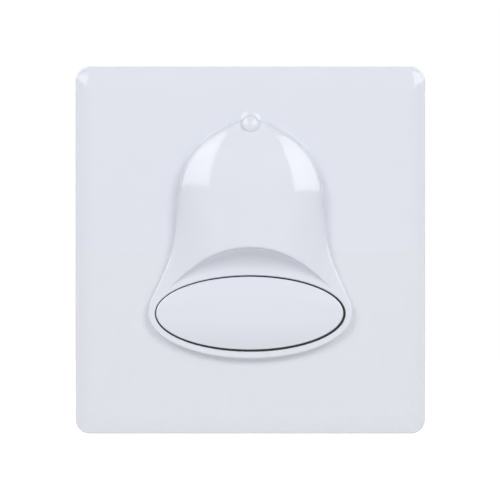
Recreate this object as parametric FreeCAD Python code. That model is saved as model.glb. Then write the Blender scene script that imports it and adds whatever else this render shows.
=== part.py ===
import FreeCAD, Part
import math
import os
from FreeCAD import Vector

# A flush wall bell push: a square moulded cover with a bell in relief, whose mouth is the push button,
# and behind it a steel frame that carries a small two-way contact mechanism in the wall box.
# Millimetres. +Z is up, the front faces -Y, +X is to the right of a viewer in front of it.
# The origin is on the wall plane, midway between the two box screws, and the wall is y = 0.

# Cover plate
plate_width = 81.0
plate_height = 85.0
plate_depth = 9.0
plate_corner_radius = 3.2
plate_wall = 1.9
plate_roll_width = 5.0
plate_roll_drop = 0.5
plate_edge_radius = 0.4
plate_rib_offset = 25.0
plate_rib_height = 1.6
plate_rib_thickness = 1.2

# Bell in relief. Each station is a half width and its height above the plate's middle.
bell_apex_height = 30.3
bell_stations = [(7.3, 27.5), (12.4, 23.8), (15.9, 17.6), (17.0, 10.9), (17.6, 3.3), (19.2, -3.3),
                 (22.4, -10.4)]
bell_stand_off = 9.2
bell_body_half_width = 17.4
bell_body_stations = 4
bell_ledge = 0.25
bell_wall = 1.9
crown_radius = 2.25
crown_height = 29.3
crown_stand_off = 3.6
crown_neck_height = 30.2

# Mouth of the bell, an ellipse that the button fills
mouth_drop = 14.65
mouth_half_width = 22.0
mouth_half_height = 8.8
rim_width = 1.6
rim_stand_off = 2.4
rim_thickness = 2.2
rim_edge_radius = 0.35
crest_height = 0.65
scoop_rise = 8.0
scoop_narrowing = 4.3
guide_wall = 1.2
guide_depth = 4.2

# Push button
button_gap = 0.4
button_crown = 1.3
button_proud = 0.5
button_wall = 1.6
button_edge_radius = 0.45
button_lip_width = 0.9
button_lip_thickness = 1.2
button_lip_clearance = 0.35
button_rest_gap = 0.1
button_rib_thickness = 1.2
button_rib_height = 1.4
button_travel = 2.0
post_radius = 3.0

# Steel frame
frame_side_gap = 2.1
frame_end_gap = 3.6
frame_corner_radius = 4.0
frame_thickness = 1.2
frame_flange = 5.0
frame_window_width = 30.0
frame_window_height = 14.0
frame_window_radius = 1.5
box_screw_spacing = 60.0
slot_radius = 2.1
slot_length = 6.6
snap_spread = 18.0
snap_width = 6.0
snap_window_clearance = 0.3
snap_bite = 0.8
snap_height = 1.4
snap_offset = 3.6

# Moulded mechanism case behind the frame, and the lid in front of it
case_width = 35.0
case_depth = 16.5
case_top = 5.0
case_bottom = -23.0
case_wall = 1.6
case_corner_radius = 2.0
ear_width = 48.0
ear_height = 11.0
ear_thickness = 1.8
ear_boss_radius = 2.8
ear_boss_depth = 8.0
divider_height = -6.0
lid_thickness = 1.6
lid_margin = 0.5
lid_boss_radius = 5.6
lid_boss_front = 0.9
lid_screw_spread = 20.6
lid_screw_height = -9.0
lid_screw_radius = 1.3
lid_screw_length = 9.0
lid_screw_head_radius = 2.5
lid_screw_head_height = 1.5
screw_hole_clearance = 0.25

# Plunger, bridge and springs
plunger_radius = 3.5
plunger_fit = 0.06
plunger_proud = 1.1
shoulder_gap = 0.3
carrier_width = 9.0
carrier_thickness = 1.6
carrier_wall = 1.3
carrier_front = 3.2
neck_radius = 1.7
pin_radius = 1.5
pin_length = 3.4
bridge_length = 25.0
bridge_width = 6.0
bridge_thickness = 0.8
bridge_fit = 0.1
clip_radius = 3.6
clip_thickness = 0.6
spring_wire_radius = 0.3
spring_wire_sides = 6
spring_radius = 3.0
spring_turns = 5.0
spring_seat_radius = 2.2
spring_seat_height = 2.4
spring_end_clearance = 0.05

# Contacts and terminals
contact_spread = 10.0
contact_clearance = 0.05
tip_radius = 1.7
tip_height = 1.0
strip_width = 5.0
strip_thickness = 0.8
strip_overrun = 3.0
clamp_width = 7.0
clamp_height = 6.4
clamp_drop = 0.9
clamp_clearance = 0.15
wire_radius = 1.3
wire_entry_radius = 1.8
terminal_screw_radius = 1.5
terminal_head_radius = 2.7
terminal_head_height = 1.3
terminal_head_clearance = 0.4
driver_slot_width = 0.8
driver_slot_depth = 0.7

# Planes and sizes that follow from those above
plate_front = -plate_depth
plate_back = plate_front + plate_wall
plate_inner_width = plate_width - 2 * plate_wall
plate_inner_height = plate_height - 2 * plate_wall
frame_width = plate_inner_width - 2 * frame_side_gap
frame_height = plate_inner_height - 2 * frame_end_gap
rim_front = plate_front - rim_stand_off
rim_back = rim_front + rim_thickness
mouth_height = -mouth_drop
lip_half_width = mouth_half_width + rim_width
lip_half_height = mouth_half_height + rim_width
bell_crest = bell_stand_off - rim_stand_off
pocket_grow = button_lip_width + button_lip_clearance
lip_front = rim_back + button_rest_gap
lip_back = lip_front + button_lip_thickness
frame_front = -frame_thickness
lid_front = frame_front - lid_thickness
lid_boss_tip = lid_front - lid_boss_front
plunger_tip = lid_boss_tip - plunger_proud
lid_boss_back = carrier_front - shoulder_gap
bridge_front = carrier_front + carrier_thickness
bridge_back = bridge_front + bridge_thickness
clip_back = bridge_back + clip_thickness
fixed_tip_front = bridge_back + tip_height + button_travel + contact_clearance
strip_front = fixed_tip_front + tip_height
strip_back = strip_front + strip_thickness
case_inside = case_depth - case_wall
clamp_top = case_top - case_wall - clamp_drop
clamp_bottom = clamp_top - clamp_height
wire_depth = strip_back + wire_radius + 0.7 * case_wall


def block(x0, x1, y0, y1, z0, z1):
    return Part.makeBox(x1 - x0, y1 - y0, z1 - z0, Vector(x0, y0, z0))


def rod_y(radius, y0, y1, x=0.0, z=0.0):
    return Part.makeCylinder(radius, y1 - y0, Vector(x, y0, z), Vector(0, 1, 0))


def rod_z(radius, z0, z1, x, y):
    return Part.makeCylinder(radius, z1 - z0, Vector(x, y, z0), Vector(0, 0, 1))


def slab(width, height, y0, y1, corner, middle=0.0):
    """A plate with round corners that faces -Y."""
    x, low, high = width / 2, middle - height / 2, middle + height / 2
    body = block(-x, x, y0, y1, low, high)
    upright = [e for e in body.Edges if abs(e.Length - (y1 - y0)) < 1e-6 and is_along_y(e)]
    return body.makeFillet(corner, upright)


def is_along_y(edge):
    a, b = edge.Vertexes[0].Point, edge.Vertexes[-1].Point
    return abs(a.x - b.x) < 1e-6 and abs(a.z - b.z) < 1e-6


def ellipse_wire(half_width, half_height, y):
    """An ellipse about the mouth's centre, in the plane at y."""
    centre = Vector(0, y, mouth_height)
    ellipse = Part.Ellipse(Vector(half_width, y, mouth_height), centre + Vector(0, 0, half_height), centre)
    return Part.Wire([ellipse.toShape()])


def ellipse_rod(half_width, half_height, y0, y1):
    return Part.Face(ellipse_wire(half_width, half_height, y0)).extrude(Vector(0, y1 - y0, 0))


def stretched(shape, x=1.0, y=1.0, z=1.0):
    matrix = FreeCAD.Matrix()
    matrix.scale(x, y, z)
    return shape.transformGeometry(matrix)


def outline_curve(stations, end, inset, smooth=True):
    """A curve, or a line of straights, from the bell's apex through stations to an upright end."""
    spine = Part.BSplineCurve()
    apex, inner = [Vector(0, 0, bell_apex_height)], [Vector(x, 0, z) for x, z in stations]
    spine.interpolate(Points=apex + inner + [end], InitialTangent=Vector(1, 0, 0),
                      FinalTangent=Vector(0, 0, -1))
    points = [Vector(0, 0, bell_apex_height - inset)]
    for station in inner:
        along = spine.tangent(spine.parameter(station))[0]
        points.append(station + Vector(along.z, 0, -along.x) * inset)
    points.append(end - Vector(inset, 0, 0))
    if not smooth:
        return Part.makePolygon(points)
    outline = Part.BSplineCurve()
    outline.interpolate(Points=points, InitialTangent=Vector(1, 0, 0), FinalTangent=Vector(0, 0, -1))
    return outline.toShape()


def lip_arc(inset):
    """The elliptical lip below the mouth's middle, from side to side."""
    centre = Vector(0, 0, mouth_height)
    ellipse = Part.Ellipse(Vector(lip_half_width - inset, 0, mouth_height),
                           centre + Vector(0, 0, lip_half_height - inset), centre)
    right = ellipse.parameter(Vector(lip_half_width - inset, 0, mouth_height))
    bottom = ellipse.parameter(Vector(0, 0, mouth_height - lip_half_height + inset))
    quarter = (bottom - right + math.pi) % (2 * math.pi) - math.pi
    start, end = sorted((right, right + 2 * quarter))
    return Part.Arc(ellipse, start, end).toShape()


def bell_skirt(inset, y0, y1):
    """The whole bell with its flare and lip, as an upright wall from y0 to y1."""
    right = outline_curve(bell_stations, Vector(lip_half_width, 0, mouth_height), inset)
    left = right.mirror(Vector(0, 0, 0), Vector(1, 0, 0))
    face = Part.Face(Part.Wire(Part.__sortEdges__([right, lip_arc(inset), left])))
    wall = face.extrude(Vector(0, y1 - y0, 0))
    wall.translate(Vector(0, y0, 0))
    return wall


def body_half(inset, smooth=True):
    """Half of the bell's body in the plane y = 0: its shoulder, then straight sides down to the mouth."""
    waist = Vector(bell_body_half_width, 0, bell_stations[bell_body_stations][1])
    shoulder = outline_curve(bell_stations[:bell_body_stations], waist, inset, smooth)
    waist.x -= inset
    corner = Vector(waist.x, 0, mouth_height)
    middle = Vector(0, 0, mouth_height)
    sides = [Part.makeLine(waist, corner), Part.makeLine(corner, middle),
             Part.makeLine(middle, Vector(0, 0, bell_apex_height - inset))]
    return Part.Face(Part.Wire(Part.__sortEdges__(shoulder.Edges + sides)))


def bell_body(inset, crest, smooth=True):
    """The body's front: turned about its upright axis and flattened in y."""
    turned = body_half(inset, smooth).revolve(Vector(0, 0, 0), Vector(0, 0, 1), -180)
    turned = stretched(turned, y=crest / (bell_body_half_width - inset))
    turned.translate(Vector(0, rim_front, 0))
    return turned


def bell_room():
    """The hollow behind the bell. A plain core of cones keeps the wall under body, skirt and scoop."""
    right = body_half(bell_wall, False).extrude(Vector(0, plate_back - rim_front, 0))
    right.translate(Vector(0, rim_front, 0))
    left = right.mirror(Vector(0, 0, 0), Vector(1, 0, 0))
    room = bell_body(bell_wall, bell_crest - bell_wall, False).fuse([right, left])
    room = room.cut(in_front_of_rim(bell_wall, bell_wall, False))
    return room.fuse(bell_skirt(bell_wall, rim_front + bell_wall, plate_back))


def scoop(grow, back, smooth):
    """The hollow under the crest: ellipses that open upwards along a quarter round, from the rim forwards."""
    widest = crest_height + mouth_drop
    sections = []
    steps = 6 if smooth else 3
    for i in range(steps + 1):
        turn = math.radians(90.0 * i / steps)
        half_width = lip_half_width - scoop_narrowing * math.sin(turn)
        half_height = lip_half_height + (widest - lip_half_height) * math.sin(turn)
        y = rim_front + back - scoop_rise * (1 - math.cos(turn))
        sections.append(ellipse_wire(half_width + grow, half_height + grow, y))
    return Part.makeLoft(sections, True, not smooth)


def in_front_of_rim(grow, back, smooth=True):
    """All that is cut away in front of the rim: the scoop, and the open space before it."""
    front = rim_front + back - scoop_rise
    half_width, half_height = lip_half_width - scoop_narrowing + grow, crest_height + mouth_drop + grow
    return scoop(grow, back, smooth).fuse(ellipse_rod(half_width, half_height, front - plate_depth, front))


def plate_section(inset, y):
    """The plate's rounded outline moved inwards by inset, in the plane at y. Its corners tighten too."""
    half_width, half_height = plate_width / 2 - inset, plate_height / 2 - inset
    radius = plate_corner_radius * (1 - inset / (2 * plate_roll_width))
    x, z, lag = half_width - radius, half_height - radius, radius * math.sqrt(0.5)
    edges = []
    for sx, sz in ((1, 1), (-1, 1), (-1, -1), (1, -1)):
        side = Vector(sx * half_width, y, sz * z)
        end = Vector(sx * x, y, sz * half_height)
        middle = Vector(sx * (x + lag), y, sz * (z + lag))
        first, last = (side, end) if sx * sz > 0 else (end, side)
        edges.append(Part.Arc(first, middle, last).toShape())
    straights = []
    for i in range(4):
        start, stop = edges[i].Vertexes[-1].Point, edges[(i + 1) % 4].Vertexes[0].Point
        straights.append(Part.makeLine(start, stop))
    return Part.Wire([edge for pair in zip(edges, straights) for edge in pair])


def plate_body():
    """The plate: an upright wall, its edge broken in two flats, and a front that rolls off softly to them."""
    edge_radius = plate_edge_radius
    shoulder = plate_front + plate_roll_drop
    rounds = []
    for turn in (0, 45, 90):
        angle = math.radians(turn)
        rounds.append(plate_section(edge_radius * (1 - math.cos(angle)),
                                    shoulder + edge_radius * (1 - math.sin(angle))))
    rolls = []
    for share in (0, 0.3, 0.6, 1):
        inset = edge_radius + share * (plate_roll_width - edge_radius)
        rolls.append(plate_section(inset, shoulder - plate_roll_drop * (1 - (1 - share) ** 2)))
    wall_front = shoulder + edge_radius
    wall = Part.Face(plate_section(0, wall_front)).extrude(Vector(0, -wall_front, 0))
    return wall.fuse([Part.makeLoft(rounds, True, True), Part.makeLoft(rolls, True, False)])


def snap_noses():
    """Four noses inside the side walls that click into the windows of the frame's flanges."""
    wall = plate_width / 2 - plate_wall
    tip = frame_width / 2 - snap_bite
    front, back = -snap_offset - snap_height / 2, -snap_offset + snap_height / 2
    root, flange = wall + plate_wall / 2, frame_width / 2 + snap_window_clearance
    nose = Part.Face(Part.makePolygon([Vector(root, front - snap_height / 2, 0),
                                       Vector(flange, front, 0),
                                       Vector(tip, front, 0),
                                       Vector(tip, back - snap_height / 3, 0),
                                       Vector(flange, back, 0),
                                       Vector(root, back, 0),
                                       Vector(root, front - snap_height / 2, 0)]))
    noses = []
    for height in (-snap_spread, snap_spread):
        right = nose.extrude(Vector(0, 0, snap_width))
        right.translate(Vector(0, 0, height - snap_width / 2))
        noses += [right, right.mirror(Vector(0, 0, 0), Vector(1, 0, 0))]
    return noses


def mouth_opening():
    """The mouth's hole, whose edge is broken in two flats where it comes through the rim's front."""
    flare = []
    for turn in (0, 45, 90):
        angle = math.radians(turn)
        grow = rim_edge_radius * (1 - math.cos(angle))
        y = rim_front + rim_edge_radius * (1 - math.sin(angle))
        flare.append(ellipse_wire(mouth_half_width + grow, mouth_half_height + grow, y))
    hole = ellipse_rod(mouth_half_width, mouth_half_height, rim_front + rim_edge_radius, rim_back)
    return hole.fuse(Part.makeLoft(flare, True, True))


def front_cover():
    """One moulding: plate, bell, crown, rim, the guide behind the mouth and the snap noses."""
    shell = plate_body()
    inner_radius = max(plate_corner_radius - plate_wall, 0.5)
    hollow = slab(plate_inner_width, plate_inner_height, plate_back, 0, inner_radius)
    relief = bell_body(bell_ledge, bell_crest).cut(in_front_of_rim(0.0, 0.0))
    relief = relief.fuse(bell_skirt(0.0, rim_front, plate_back))
    pocket_half_width = mouth_half_width + pocket_grow
    pocket_half_height = mouth_half_height + pocket_grow
    guide_back = plate_back + guide_depth - (plate_back - rim_back)
    guide = ellipse_rod(pocket_half_width + guide_wall, pocket_half_height + guide_wall, rim_back, guide_back)
    crown = Part.makeSphere(crown_radius, Vector(0, plate_front - crown_stand_off, crown_height))
    crown_post = rod_y(crown_radius, plate_front - crown_stand_off, plate_back, 0, crown_height)
    crown_neck = rod_y(crown_radius, rim_front, plate_back, 0, crown_neck_height)
    body = shell.fuse([relief, crown, crown_post, crown_neck])
    body = body.cut(hollow).cut(bell_room())
    ribs = []
    for side in (-1, 1):
        x = side * plate_rib_offset
        ribs.append(block(x - plate_rib_thickness / 2, x + plate_rib_thickness / 2, plate_back,
                          plate_back + plate_rib_height, -plate_inner_height / 2, plate_inner_height / 2))
    body = body.fuse([guide] + ribs + snap_noses())
    body = body.cut(ellipse_rod(pocket_half_width, pocket_half_height, rim_back, 0))
    return body.cut(mouth_opening()).removeSplitter()


def button_cap():
    """The cap is turned about its own axis, domed face and broken edge together, and flattened to an oval."""
    half_width, half_height = mouth_half_width - button_gap, mouth_half_height - button_gap
    flat, drop = half_width - button_edge_radius, rim_front - button_proud
    dome = (flat ** 2 + button_crown ** 2) / (2 * button_crown)
    turn = math.asin(flat / dome) / 2
    front, foot = Vector(0, drop - button_crown, 0), Vector(flat, drop, 0)
    swell = Vector(dome * math.sin(turn), front.y + dome * (1 - math.cos(turn)), 0)
    lag = button_edge_radius * math.sqrt(0.5)
    bend = Vector(flat + lag, drop + button_edge_radius - lag, 0)
    corner = Vector(half_width, drop + button_edge_radius, 0)
    back = Vector(half_width, lip_back, 0)
    profile = Part.Wire([Part.Arc(front, swell, foot).toShape(), Part.makeLine(foot, bend),
                         Part.makeLine(bend, corner), Part.makeLine(corner, back),
                         Part.makeLine(back, Vector(0, lip_back, 0)),
                         Part.makeLine(Vector(0, lip_back, 0), front)])
    cap = Part.Face(profile).revolve(Vector(0, 0, 0), Vector(0, 1, 0), 360)
    cap = stretched(cap, z=half_height / half_width)
    cap.translate(Vector(0, 0, mouth_height))
    return cap


def push_button():
    """A hollow cap with a gently domed face, a lip that holds it behind the rim, and a post to the plunger."""
    half_width, half_height = mouth_half_width - button_gap, mouth_half_height - button_gap
    floor = rim_front - button_proud - button_crown + button_wall
    ceiling = floor + button_crown / 2
    lip = ellipse_rod(mouth_half_width + button_lip_width, mouth_half_height + button_lip_width, lip_front,
                      lip_back)
    inside = ellipse_rod(half_width - button_wall, half_height - button_wall, ceiling, lip_back)
    cap = button_cap().fuse(lip).cut(inside)
    reach = half_width - button_wall / 2
    spar = block(-reach, reach, floor, ceiling + button_rib_height, mouth_height - button_rib_thickness / 2,
                 mouth_height + button_rib_thickness / 2)
    post = rod_y(post_radius, floor, plunger_tip, 0, mouth_height)
    return cap.fuse([spar, post]).removeSplitter()


def frame_slot(x, z):
    """A level slot for a box screw."""
    reach = slot_length / 2 - slot_radius
    body = block(x - reach, x + reach, frame_front - 1, 1, z - slot_radius, z + slot_radius)
    return body.fuse([rod_y(slot_radius, frame_front - 1, 1, x + s * reach, z) for s in (-1, 1)])


def mounting_frame():
    """Pressed steel: a flat plate with both sides folded forward, slotted for the box screws."""
    plate = slab(frame_width, frame_height, frame_front, 0, frame_corner_radius)
    half = frame_width / 2
    sides = []
    for side in (-1, 1):
        outer, inner = side * half, side * (half - frame_thickness)
        x0, x1 = min(outer, inner), max(outer, inner)
        tall = frame_height / 2 - frame_corner_radius
        sides.append(block(x0, x1, frame_front - frame_flange, 0, -tall, tall))
    body = plate.fuse(sides)
    body = body.cut(slab(frame_window_width, frame_window_height, frame_front - 1, 1,
                         frame_window_radius, mouth_height))
    for spot in (-1, 1):
        body = body.cut(frame_slot(spot * box_screw_spacing / 2, 0))
        body = body.cut(frame_slot(0, spot * box_screw_spacing / 2))
        body = body.cut(rod_y(lid_screw_radius + screw_hole_clearance, frame_front - 1, 1,
                              spot * lid_screw_spread, lid_screw_height))
        window_depth = snap_height / 2 + snap_window_clearance
        window_reach = snap_width / 2 + snap_window_clearance
        body = body.cut(block(-half - 1, half + 1, -snap_offset - window_depth, -snap_offset + window_depth,
                              spot * snap_spread - window_reach, spot * snap_spread + window_reach))
    return body.removeSplitter()


def mechanism_case():
    """The moulded case in the wall box: a contact chamber below and two terminal chambers above."""
    tall, middle = case_top - case_bottom, (case_top + case_bottom) / 2
    body = slab(case_width, tall, 0, case_depth, case_corner_radius, middle)
    ears = slab(ear_width, ear_height, 0, ear_thickness, case_corner_radius, lid_screw_height)
    bosses = []
    for side in (-1, 1):
        bosses.append(rod_y(ear_boss_radius, 0, ear_boss_depth, side * lid_screw_spread, lid_screw_height))
    body = body.fuse([ears] + bosses)
    inner = case_width / 2 - case_wall
    chamber = block(-inner, inner, -1, case_inside, case_bottom + case_wall, divider_height - case_wall / 2)
    body = body.cut(chamber)
    for side in (-1, 1):
        x = side * contact_spread
        room = clamp_width / 2 + clamp_clearance
        body = body.cut(block(x - room, x + room, -1, case_inside, divider_height + case_wall / 2,
                              case_top - case_wall))
        slot = strip_width / 2 + clamp_clearance
        body = body.cut(block(x - slot, x + slot, -1, strip_back, divider_height - case_wall,
                              divider_height + case_wall))
        body = body.cut(rod_z(wire_entry_radius, clamp_top, case_top + 1, x, wire_depth))
        head_room = terminal_head_radius + terminal_head_clearance
        body = body.cut(rod_y(head_room, case_inside - 1, case_depth + 1, x, (clamp_top + clamp_bottom) / 2))
        shelf_top = mouth_height + tip_radius
        shelf = block(x - strip_width / 2, x + strip_width / 2, strip_back, case_depth - case_wall / 2,
                      mouth_height - strip_overrun, shelf_top)
        rest = block(x - strip_width / 2, x + strip_width / 2, strip_back, case_depth - case_wall / 2,
                     divider_height + case_wall / 2 - case_wall / 4, clamp_bottom - clamp_clearance)
        body = body.fuse([shelf, rest])
        body = body.cut(rod_y(lid_screw_radius, -1, lid_screw_length, side * lid_screw_spread,
                              lid_screw_height))
    seat_front = case_inside - spring_seat_height
    seat = rod_y(spring_seat_radius, seat_front, case_depth - case_wall / 2, 0, mouth_height)
    return body.fuse(seat).removeSplitter()


def mechanism_lid():
    """Closes the case from the front, clamps it to the frame and guides the plunger."""
    width, height = ear_width - 2 * lid_margin, ear_height - 2 * lid_margin
    ears = slab(width, height, lid_front, frame_front, case_corner_radius, lid_screw_height)
    tall = divider_height + case_wall - case_bottom - lid_margin
    middle = case_bottom + lid_margin + tall / 2
    plate = slab(case_width, tall, lid_front, frame_front, case_corner_radius, middle)
    boss = rod_y(lid_boss_radius, lid_boss_tip, lid_boss_back, 0, mouth_height)
    body = ears.fuse([plate, boss])
    body = body.cut(rod_y(plunger_radius + plunger_fit, lid_boss_tip - 1, lid_boss_back + 1, 0, mouth_height))
    for side in (-1, 1):
        body = body.cut(rod_y(lid_screw_radius + screw_hole_clearance, lid_front - 1, 1,
                              side * lid_screw_spread, lid_screw_height))
    return body.removeSplitter()


def plunger():
    """A turned rod with a channel that keeps the bridge square, a neck and a spring pin."""
    stem = rod_y(plunger_radius, plunger_tip, carrier_front, 0, mouth_height)
    half_channel = bridge_width / 2 + bridge_fit
    half_height = half_channel + carrier_wall
    carrier = block(-carrier_width / 2, carrier_width / 2, carrier_front, bridge_back,
                    mouth_height - half_height, mouth_height + half_height)
    carrier = carrier.cut(block(-carrier_width, carrier_width, bridge_front, bridge_back + 1,
                                mouth_height - half_channel, mouth_height + half_channel))
    neck = rod_y(neck_radius, bridge_front, clip_back, 0, mouth_height)
    pin = rod_y(pin_radius, clip_back, clip_back + pin_length, 0, mouth_height)
    pin = pin.makeChamfer(0.3, [pin.Edges[0]] if pin.Edges[0].BoundBox.Center.y > clip_back else [pin.Edges[2]])
    return stem.fuse([carrier, neck, pin]).removeSplitter()


def contact_bridge():
    half = bridge_length / 2
    body = slab(bridge_length, bridge_width, bridge_front, bridge_back, bridge_width / 4, mouth_height)
    body = body.cut(rod_y(neck_radius + bridge_fit / 2, bridge_front - 1, bridge_back + 1, 0, mouth_height))
    return body.common(block(-half, half, bridge_front, bridge_back, mouth_height - half, mouth_height + half))


def bridge_clip():
    """A push-on ring that holds the bridge on the neck."""
    ring = rod_y(clip_radius, bridge_back, clip_back, 0, mouth_height)
    return ring.cut(rod_y(neck_radius + bridge_fit / 2, bridge_back - 1, clip_back + 1, 0, mouth_height))


def contact_tip(side, y0, y1):
    return rod_y(tip_radius, y0, y1, side * contact_spread, mouth_height)


def return_spring():
    """A coil from the clip to the case, round the pin and its seat, made of tilted half turns end to end."""
    start = clip_back + spring_wire_radius + spring_end_clearance
    end = case_inside - spring_wire_radius - spring_end_clearance
    rise = (end - start) / (2 * spring_turns)
    coil = []
    for i in range(round(2 * spring_turns)):
        side = 1 if i % 2 == 0 else -1
        first = Vector(side * spring_radius, start + i * rise, 0)
        last = Vector(-side * spring_radius, start + (i + 1) * rise, 0)
        axis = (last - first).cross(Vector(0, 0, side))
        section = []
        for flat in range(spring_wire_sides + 1):
            turn = 2 * math.pi * flat / spring_wire_sides
            section.append(first + Vector(math.cos(turn), math.sin(turn), 0) * spring_wire_radius)
        wire = Part.Face(Part.makePolygon(section))
        coil.append(wire.revolve((first + last) * 0.5, axis, 180))
    spring = coil[0].fuse(coil[1:])
    spring.translate(Vector(0, 0, mouth_height))
    return spring


def fixed_contact(side):
    """A straight brass strip from under the tip, through the divider, to the front of the clamp."""
    low, high = mouth_height - strip_overrun, clamp_top
    strip = slab(strip_width, high - low, strip_front, strip_back, strip_width / 4, (low + high) / 2)
    strip.translate(Vector(side * contact_spread, 0, 0))
    return strip


def terminal_clamp(side):
    """A brass block with a hole down through it for the wire and a threaded hole for its screw."""
    x, middle = side * contact_spread, (clamp_top + clamp_bottom) / 2
    half = clamp_width / 2
    body = block(x - half, x + half, strip_back, case_inside, clamp_bottom, clamp_top)
    body = body.cut(rod_z(wire_radius, clamp_bottom - 1, clamp_top + 1, x, wire_depth))
    return body.cut(rod_y(terminal_screw_radius, wire_depth, case_inside + 1, x, middle))


def slotted_head(radius, y0, y1, x, z, slot_at):
    head = rod_y(radius, y0, y1, x, z)
    slot = block(x - driver_slot_width / 2, x + driver_slot_width / 2, slot_at, slot_at + driver_slot_depth,
                 z - radius - 1, z + radius + 1)
    return head.cut(slot)


def terminal_screw(side):
    x, middle = side * contact_spread, (clamp_top + clamp_bottom) / 2
    shank = rod_y(terminal_screw_radius, wire_depth + wire_radius, case_inside, x, middle)
    head_back = case_inside + terminal_head_height
    head = slotted_head(terminal_head_radius, case_inside, head_back, x, middle, head_back - driver_slot_depth)
    return shank.fuse(head).removeSplitter()


def lid_screw(side):
    x = side * lid_screw_spread
    head_front = lid_front - lid_screw_head_height
    shank = rod_y(lid_screw_radius, lid_front, lid_front + lid_screw_length, x, lid_screw_height)
    head = slotted_head(lid_screw_head_radius, head_front, lid_front, x, lid_screw_height, head_front)
    return shank.fuse(head).removeSplitter()


def save(name, shape):
    solids = shape.Solids
    if len(solids) != 1 or not shape.isValid():
        raise ValueError(name + " is not one valid solid: " + str(len(solids)))
    solids[0].exportStep("parts/" + name + ".step")
    print(name, round(solids[0].Volume, 2), len(solids[0].Faces))


def main():
    os.makedirs("parts", exist_ok=True)
    save("front_cover", front_cover())
    save("push_button", push_button())
    save("mounting_frame", mounting_frame())
    save("mechanism_case", mechanism_case())
    save("mechanism_lid", mechanism_lid())
    save("plunger", plunger())
    save("contact_bridge", contact_bridge())
    save("bridge_clip", bridge_clip())
    save("return_spring", return_spring())
    for side, word in ((-1, "left"), (1, "right")):
        save("bridge_tip_" + word, contact_tip(side, bridge_back, bridge_back + tip_height))
        save("fixed_tip_" + word, contact_tip(side, fixed_tip_front, strip_front))
        save("fixed_contact_" + word, fixed_contact(side))
        save("terminal_clamp_" + word, terminal_clamp(side))
        save("terminal_screw_" + word, terminal_screw(side))
        save("lid_screw_" + word, lid_screw(side))


main()
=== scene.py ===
# %% [markdown]
# # A bell push in white plastic
# The object is a wall plate with a bell in relief. The bell's mouth is an oval push button.
# Behind the plate sit a steel frame and a small dark case with the contacts.
# The engineering model gives every size and place. This script adds the finish on top of it:
# the soft edges, the gloss, the fine texture, the plated metals, and the light to see them in.
#
# The first cell loads that model. It could also be rebuilt here, but then the two could drift apart.

# %% Load the model
import bpy
import bmesh
import math
import numpy as np
from mathutils import Matrix, Vector


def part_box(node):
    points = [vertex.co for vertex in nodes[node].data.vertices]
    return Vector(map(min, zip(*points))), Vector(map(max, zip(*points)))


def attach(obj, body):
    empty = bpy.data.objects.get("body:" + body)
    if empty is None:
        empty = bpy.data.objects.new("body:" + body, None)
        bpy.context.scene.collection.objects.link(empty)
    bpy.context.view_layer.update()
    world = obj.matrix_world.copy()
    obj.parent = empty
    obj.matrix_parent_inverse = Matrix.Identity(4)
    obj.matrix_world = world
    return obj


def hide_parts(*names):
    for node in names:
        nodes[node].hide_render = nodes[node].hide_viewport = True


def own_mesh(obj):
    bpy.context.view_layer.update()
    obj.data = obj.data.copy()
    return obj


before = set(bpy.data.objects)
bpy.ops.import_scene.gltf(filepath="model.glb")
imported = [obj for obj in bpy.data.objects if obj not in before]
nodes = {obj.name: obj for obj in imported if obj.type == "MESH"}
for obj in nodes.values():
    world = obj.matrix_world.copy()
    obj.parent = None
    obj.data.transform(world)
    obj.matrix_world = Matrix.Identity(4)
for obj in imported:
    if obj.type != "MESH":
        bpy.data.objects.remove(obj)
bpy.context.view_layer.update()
MM = 0.001

# %% [markdown]
# ## Sizes
# The plate's outer size is read from the model, so it follows when the model changes.
# The bell's own sizes are the designer's driving dimensions, in millimetres:
# half widths at a few heights, the oval of the mouth, and the depths measured from the plate's front.

# %% Sizes of the cover
cover_low, cover_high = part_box("front_cover")
plate_half_width = cover_high.x / MM
plate_half_height = cover_high.z / MM
plate_front = -9.0
plate_wall = 1.9
plate_corner_radius = 3.2
plate_roll_width = 5.0
plate_roll_drop = 0.5
plate_side_drop = 1.3
plate_edge_radius = 0.4
back_edge_radius = 0.15

bell_apex = 30.3
bell_stations = [(7.3, 27.5), (12.4, 23.8), (15.9, 17.6), (17.0, 10.9), (17.6, 3.3), (19.2, -3.3),
                 (22.4, -10.4)]
bell_foot_radius = 0.2
body_half_width = 17.4
body_blend = 1.2
brim_start = 19.0
flare_top = 14.0
flare_length = 22.0
brim_edge_radius = 0.45
bell_wall = 1.9

mouth_z = -14.65
mouth_half_width = 22.0
mouth_half_height = 8.8
rim_width = 1.6
rim_height = 2.4
rim_thickness = 2.2
rim_edge_radius = 0.35
rim_back = plate_front - rim_height + rim_thickness
crest_half_height = 15.3
scoop_rise = 8.0
scoop_half_width = 19.3
scoop_sweep = 1.2
crest_round = 0.55
lip_round = 0.1
halvings = 30
lip_half_width = mouth_half_width + rim_width
lip_half_height = mouth_half_height + rim_width
rim_half_width = lip_half_width - brim_edge_radius
rim_half_height = lip_half_height - brim_edge_radius
body_depth = plate_front - cover_low.y / MM - rim_height

print("plate", 2 * plate_half_width, "x", 2 * plate_half_height, "mm")

# %% [markdown]
# ## The bell's outline and its height
# On the real moulding the outline is one smooth curve from the ball down to the mouth.
# It could be drawn as a polyline, but facets would show in the gloss.
# A clamped spline through the stations is smooth, and it leaves the crown level and meets the mouth upright.
# The bell's height is a formula of the place on the plate: a round cross section that follows the outline
# down the body and, towards the mouth, turns into a flatter one with a wide brim.

# %% Outline of the bell


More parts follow.
